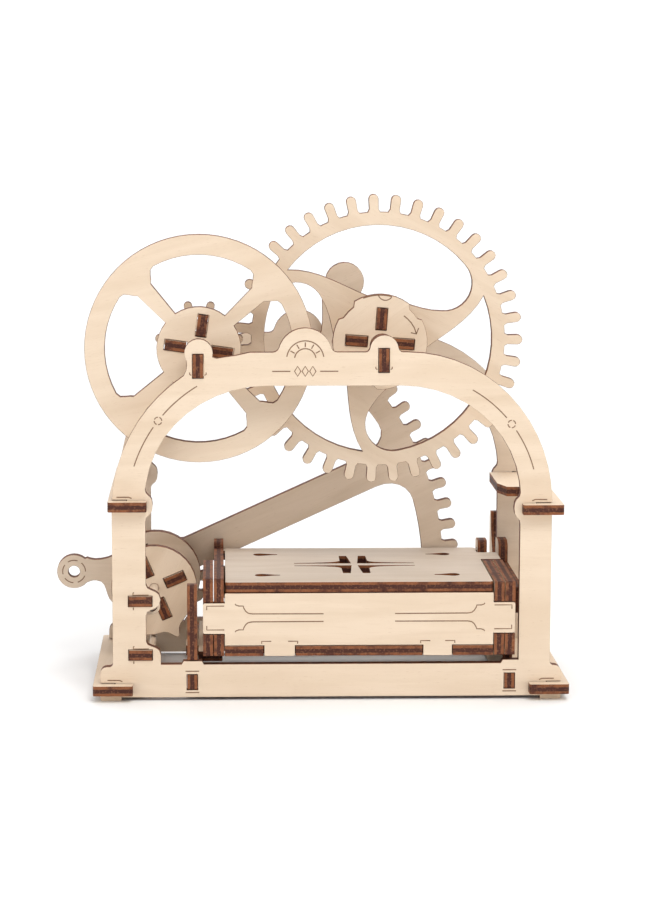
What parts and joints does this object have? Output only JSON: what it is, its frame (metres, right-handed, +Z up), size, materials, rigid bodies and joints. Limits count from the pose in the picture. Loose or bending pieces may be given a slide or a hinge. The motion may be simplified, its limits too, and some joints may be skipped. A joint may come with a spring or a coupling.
{
  "type": "hand-cranked card box",
  "caption": "Laser-cut plywood card box with a lid, two arches, a spoked hand wheel, a large toothed gear and a toothed sector on a ring lever.",
  "frame": {"origin": "centre of the bounding box in X and Y, on the plane that the feet stand on", "axes": "+Z up, +Y from the front arch to the back arch, +X to the right seen from the front"},
  "size_m": [0.168, 0.086, 0.1614],
  "materials": {
    "birch_ply": "matte",
    "lid_ply": "matte",
    "cut_edge": "matte",
    "dowel": "matte"
  },
  "bodies": {
    "frame": {"back_arch": "birch_ply", "box_back": "birch_ply", "box_bottom": "birch_ply", "box_front": "birch_ply", "box_ledge": "birch_ply", "dowel_front_key": "cut_edge", "dowel_rear_key": "cut_edge", "front_arch": "birch_ply", "gear_axle": "dowel", "gear_front_bearing": "birch_ply", "gear_front_key": "cut_edge", "gear_rear_bearing": "birch_ply", "gear_rear_key": "cut_edge", "left_base_plate": "birch_ply", "left_cross_plate": "birch_ply", "left_inner_end": "birch_ply", "left_outer_end": "birch_ply", "left_shelf_plate": "birch_ply", "lid_guide_plate": "birch_ply", "lower_tie_dowel": "dowel", "pivot_axle": "dowel", "pivot_front_bearing": "birch_ply", "pivot_front_key": "cut_edge", "pivot_rear_bearing": "birch_ply", "pivot_rear_key": "cut_edge", "right_base_plate": "birch_ply", "right_cross_plate": "birch_ply", "right_inner_end": "birch_ply", "right_outer_end": "birch_ply", "right_shelf_plate": "birch_ply", "wheel_axle": "dowel", "wheel_front_bearing": "birch_ply", "wheel_front_key": "cut_edge", "wheel_rear_bearing": "birch_ply", "wheel_rear_key": "cut_edge"},
    "wheel": {"hand_wheel": "birch_ply", "wheel_pinion": "birch_ply", "wheel_spacer_1": "cut_edge", "wheel_spacer_2": "cut_edge", "wheel_spacer_3": "cut_edge", "wheel_spacer_4": "cut_edge"},
    "gear": {"big_gear": "birch_ply", "cam_disc": "birch_ply", "drive_pinion": "birch_ply", "gear_spacer_1": "cut_edge", "gear_spacer_2": "cut_edge", "gear_spacer_3": "cut_edge", "gear_spacer_4": "cut_edge"},
    "hub": {"hub_front_disc": "birch_ply", "hub_lever": "birch_ply", "hub_arm_plate": "birch_ply", "sector_gear": "birch_ply", "hub_spacer_1": "cut_edge", "hub_spacer_2": "cut_edge", "hub_spacer_3": "cut_edge", "hub_spacer_4": "cut_edge"},
    "lid": {"lid_panel": "lid_ply"}
  },
  "joints": [
    {"name": "hand_wheel_turn", "type": "hinge", "parent": "frame", "child": "wheel", "pos_m": [-0.0349, -0.0239, 0.1124], "axis": [0, -1, 0], "range_deg": [0, 1542]},
    {"name": "big_gear_turn", "type": "hinge", "parent": "frame", "child": "gear", "pos_m": [0.0237, -0.0094, 0.114], "axis": [0, -1, 0], "range_deg": [-435, 0]},
    {"name": "lever_swing", "type": "hinge", "parent": "frame", "child": "hub", "pos_m": [-0.0503, 0.011, 0.0303], "axis": [0, -1, 0], "range_deg": [0, 40]},
    {"name": "lid_hinge", "type": "hinge", "parent": "frame", "child": "lid", "pos_m": [0.0164, 0.0192, 0.037], "axis": [-1, 0, 0], "range_deg": [0, 35]}
  ],
  "couplings": [
    {"joint": "big_gear_turn", "follows": "hand_wheel_turn", "ratio": -0.28205},
    {"joint": "lever_swing", "follows": "hand_wheel_turn", "ratio": 0.025641}
  ]
}
